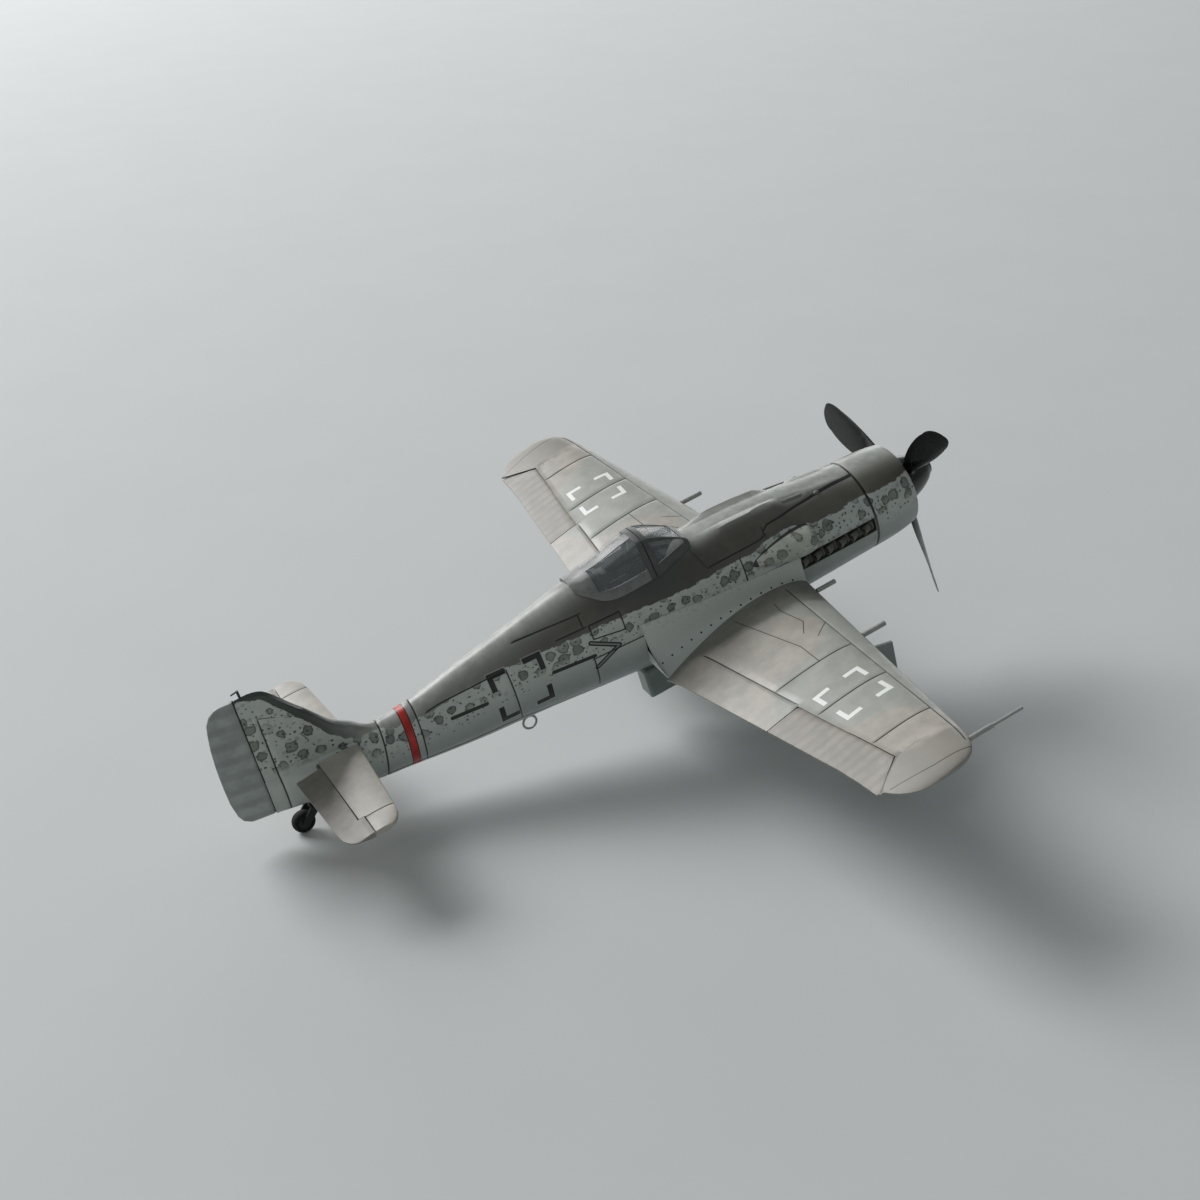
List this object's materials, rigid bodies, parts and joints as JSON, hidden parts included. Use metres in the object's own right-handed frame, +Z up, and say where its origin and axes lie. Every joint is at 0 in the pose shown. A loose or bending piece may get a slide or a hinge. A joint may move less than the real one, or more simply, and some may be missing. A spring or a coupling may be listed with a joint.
{
  "type": "propeller plane model",
  "caption": "Standing scale model of a single-engine low-wing propeller fighter with a bubble hood, turning propeller and wheels, and hinged control surfaces.",
  "frame": {"origin": "centre of the bounding box, on the ground plane under the tyres", "axes": "+X to the nose, +Y to the left wing tip, +Z up"},
  "size_m": [0.1391, 0.1456, 0.0523],
  "materials": {
    "fuselage_paint": "satin",
    "fillet_paint": "satin",
    "upper_wing_paint": "satin",
    "under_paint": "satin",
    "aileron_paint": "satin",
    "tail_paint": "satin",
    "elevator_paint": "satin",
    "tube_steel": "satin",
    "rudder_paint": "satin",
    "hinge_metal": "satin",
    "cowl_paint": "satin",
    "radiator_black": "matte",
    "bulkhead_grey": "matte",
    "exhaust_dark": "matte",
    "intake_paint": "satin",
    "gun_steel": "satin",
    "pitot_steel": "satin",
    "spinner_black": "semi-gloss",
    "hub_black": "satin",
    "blade_black": "semi-gloss",
    "shaft_steel": "satin",
    "cockpit_grey": "matte",
    "seat_grey": "matte",
    "panel_black": "matte",
    "stick_black": "satin",
    "armour_grey": "matte",
    "canopy_clear": "gloss",
    "canopy_frame": "satin",
    "hood_paint": "satin",
    "aerial_dark": "satin",
    "loop_grey": "satin",
    "rack_paint": "satin",
    "leg_grey": "satin",
    "door_paint": "satin",
    "hub_paint": "satin",
    "tyre_rubber": "matte",
    "yoke_black": "satin"
  },
  "bodies": {
    "airframe": {"fuselage_left": "fuselage_paint", "fuselage_right": "fuselage_paint", "wing_fillet_left": "fillet_paint", "wing_fillet_right": "fillet_paint", "wing_upper_left": "upper_wing_paint", "wing_upper_right": "upper_wing_paint", "wing_lower_left": "under_paint", "wing_lower_right": "under_paint", "aileron_pins": "shaft_steel", "tailplane_left": "tail_paint", "tailplane_right": "tail_paint", "rudder_hinge": "hinge_metal", "cowl_ring": "cowl_paint", "radiator_core": "radiator_black", "nose_bulkhead": "bulkhead_grey", "exhaust_stacks_left": "exhaust_dark", "exhaust_stacks_right": "exhaust_dark", "supercharger_intake": "intake_paint", "cowl_guns": "gun_steel", "wing_root_guns": "gun_steel", "outer_wing_guns": "gun_steel", "pitot_tube": "pitot_steel", "cockpit_tub": "cockpit_grey", "pilot_seat": "seat_grey", "instrument_panel": "panel_black", "control_stick": "stick_black", "headrest_armour": "armour_grey", "windscreen": "canopy_clear", "windscreen_arch": "canopy_frame", "aerial_stub": "aerial_dark", "df_loop": "loop_grey", "belly_rack": "rack_paint", "gear_leg_left": "leg_grey", "gear_leg_right": "leg_grey", "gear_axle_left": "shaft_steel", "gear_axle_right": "shaft_steel", "gear_door_left": "door_paint", "gear_door_right": "door_paint"},
    "propeller": {"spinner": "spinner_black", "spinner_backplate": "spinner_black", "propeller_hub": "hub_black", "propeller_blades": "blade_black", "propeller_shaft": "shaft_steel", "shaft_retainer": "shaft_steel"},
    "main_wheel_left": {"wheel_hub_left": "hub_paint", "tyre_left": "tyre_rubber"},
    "main_wheel_right": {"wheel_hub_right": "hub_paint", "tyre_right": "tyre_rubber"},
    "tail_castor": {"tail_wheel_yoke": "yoke_black"},
    "tail_wheel": {"tail_wheel_hub": "hub_paint", "tail_wheel_tyre": "tyre_rubber"},
    "canopy_hood": {"hood_hoop": "canopy_frame", "hood_glass": "canopy_clear", "hood_fairing": "hood_paint"},
    "rudder": {"rudder": "rudder_paint"},
    "elevators": {"elevator_left": "elevator_paint", "elevator_right": "elevator_paint", "elevator_torque_tube": "tube_steel"},
    "aileron_left": {"aileron_left": "aileron_paint"},
    "aileron_right": {"aileron_right": "aileron_paint"}
  },
  "joints": [
    {"name": "propeller_spin", "type": "hinge", "parent": "airframe", "child": "propeller", "pos_m": [0.06347, 0, 0.03645], "axis": [0.9681, 0, 0.2504], "continuous": true},
    {"name": "main_wheel_left_roll", "type": "hinge", "parent": "airframe", "child": "main_wheel_left", "pos_m": [0.04207, 0.0243, 0.00485], "axis": [0, 1, 0], "continuous": true},
    {"name": "main_wheel_right_roll", "type": "hinge", "parent": "airframe", "child": "main_wheel_right", "pos_m": [0.04207, -0.0243, 0.00485], "axis": [0, 1, 0], "continuous": true},
    {"name": "tail_castor_swivel", "type": "hinge", "parent": "airframe", "child": "tail_castor", "pos_m": [-0.05413, 0, 0.005], "axis": [0, 0, 1], "range_deg": [-60, 60]},
    {"name": "tail_wheel_roll", "type": "hinge", "parent": "tail_castor", "child": "tail_wheel", "pos_m": [-0.05603, 0, 0.00205], "axis": [0, 1, 0], "continuous": true},
    {"name": "hood_slide", "type": "slide", "parent": "airframe", "child": "canopy_hood", "axis": [-0.9681, 0, -0.2504], "range_m": [0, 0.012]},
    {"name": "rudder_hinge_line", "type": "hinge", "parent": "airframe", "child": "rudder", "pos_m": [-0.06107, 0, 0.00558], "axis": [-0.1887, 0, 0.982], "range_deg": [-25, 25]},
    {"name": "elevator_hinge_line", "type": "hinge", "parent": "airframe", "child": "elevators", "pos_m": [-0.05281, 0, 0.01278], "axis": [0, 1, 0], "range_deg": [-20, 25]},
    {"name": "aileron_right_hinge", "type": "hinge", "parent": "airframe", "child": "aileron_right", "pos_m": [0.01615, -0.0404, 0.02212], "axis": [0.0892, -0.9894, 0.1148], "range_deg": [-17, 17]},
    {"name": "aileron_left_hinge", "type": "hinge", "parent": "airframe", "child": "aileron_left", "pos_m": [0.01615, 0.0404, 0.02212], "axis": [0.0892, 0.9894, 0.1148], "range_deg": [-17, 17]}
  ]
}
